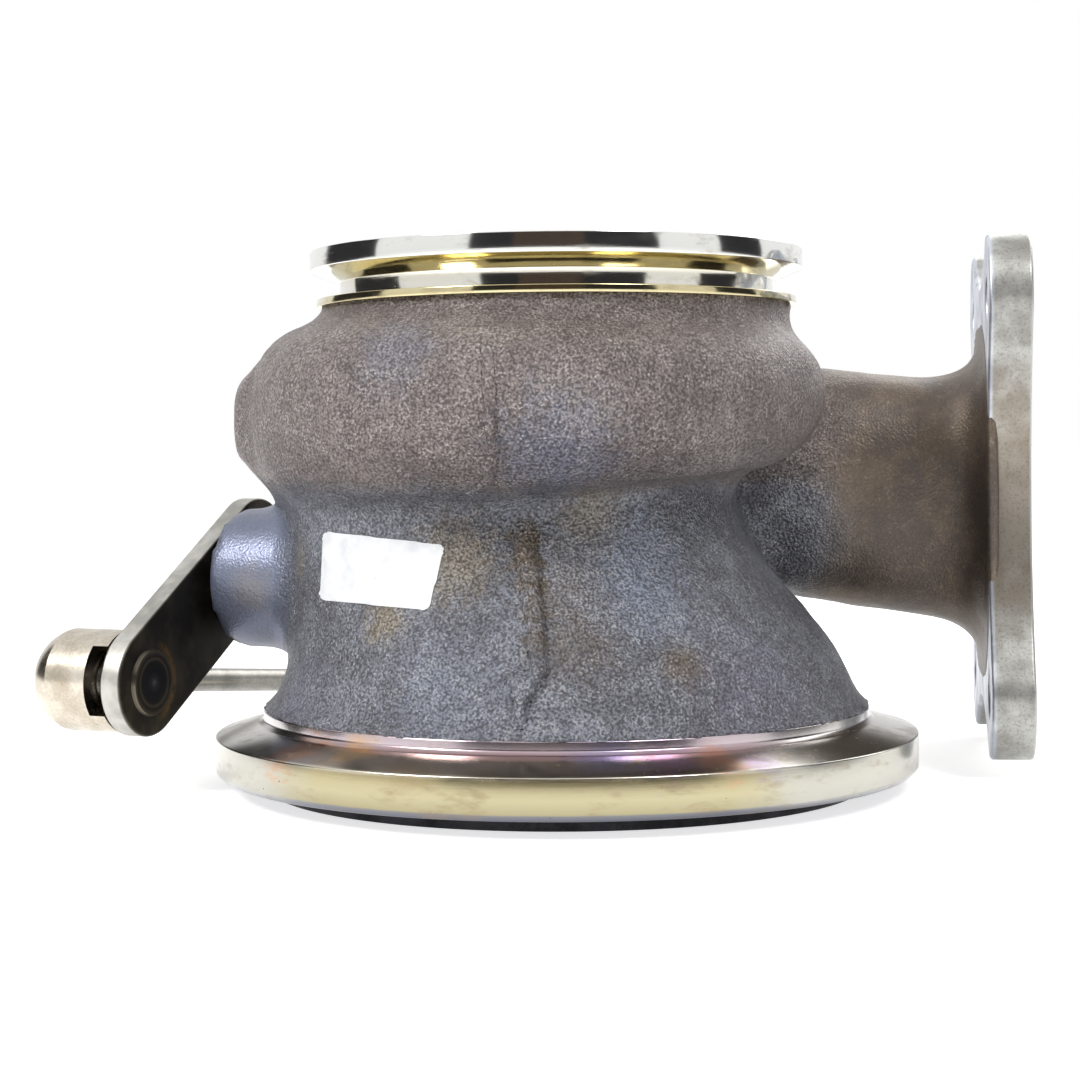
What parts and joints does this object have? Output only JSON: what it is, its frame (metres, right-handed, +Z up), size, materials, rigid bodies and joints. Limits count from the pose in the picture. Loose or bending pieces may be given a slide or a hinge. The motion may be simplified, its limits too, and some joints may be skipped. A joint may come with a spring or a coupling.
{
  "type": "turbocharger turbine housing",
  "caption": "Cast turbine housing of a turbocharger with tangential inlet, clamp-band joints and a built-in wastegate worked by a crank lever and link rod.",
  "frame": {"origin": "on the outlet axis, at the lower end face of the outlet spigot", "axes": "+Z up towards the centre housing joint, +X along the inlet flange's outward normal"},
  "size_m": [0.1687, 0.1375, 0.0944],
  "materials": {
    "cast_steel": "sand cast and heat stained, with bright turned joints",
    "bush_steel": "turned, dull",
    "washer_steel": "satin",
    "arm_steel": "forged, heat stained",
    "valve_steel": "turned, heat stained",
    "lever_steel": "dark oxide faces with satin edges",
    "weld_bead": "rippled, heat stained",
    "stud_steel": "dark, satin",
    "socket_steel": "warm nickel, satin",
    "spring_wire": "dark spring wire",
    "rod_steel": "satin"
  },
  "bodies": {
    "housing": {"turbine_housing": "cast_steel", "wastegate_bush": "bush_steel"},
    "crank": {"thrust_washer": "washer_steel", "swing_arm": "arm_steel", "crank_lever": "lever_steel", "lever_weld": "weld_bead", "ball_stud": "stud_steel"},
    "valve": {"valve_disc": "valve_steel", "valve_washer": "washer_steel"},
    "link": {"near_socket": "socket_steel", "near_socket_clip": "spring_wire", "link_rod": "rod_steel", "rod_jam_nut": "rod_steel", "far_socket": "socket_steel", "far_socket_clip": "spring_wire"}
  },
  "joints": [
    {"name": "wastegate_shaft", "type": "hinge", "parent": "housing", "child": "crank", "pos_m": [-0.05181, 0.0017, 0.0351], "axis": [-0.9553, 0.2957, 0], "range_deg": [0, 40]},
    {"name": "valve_spin", "type": "hinge", "parent": "crank", "child": "valve", "pos_m": [-0.03127, 0.01209, 0.0381], "axis": [0, 0, 1], "continuous": true},
    {"name": "link_swing", "type": "hinge", "parent": "crank", "child": "link", "pos_m": [-0.07811, -0.0178, 0.01886], "axis": [-0.9553, 0.2957, 0], "range_deg": [-40, 1]}
  ]
}
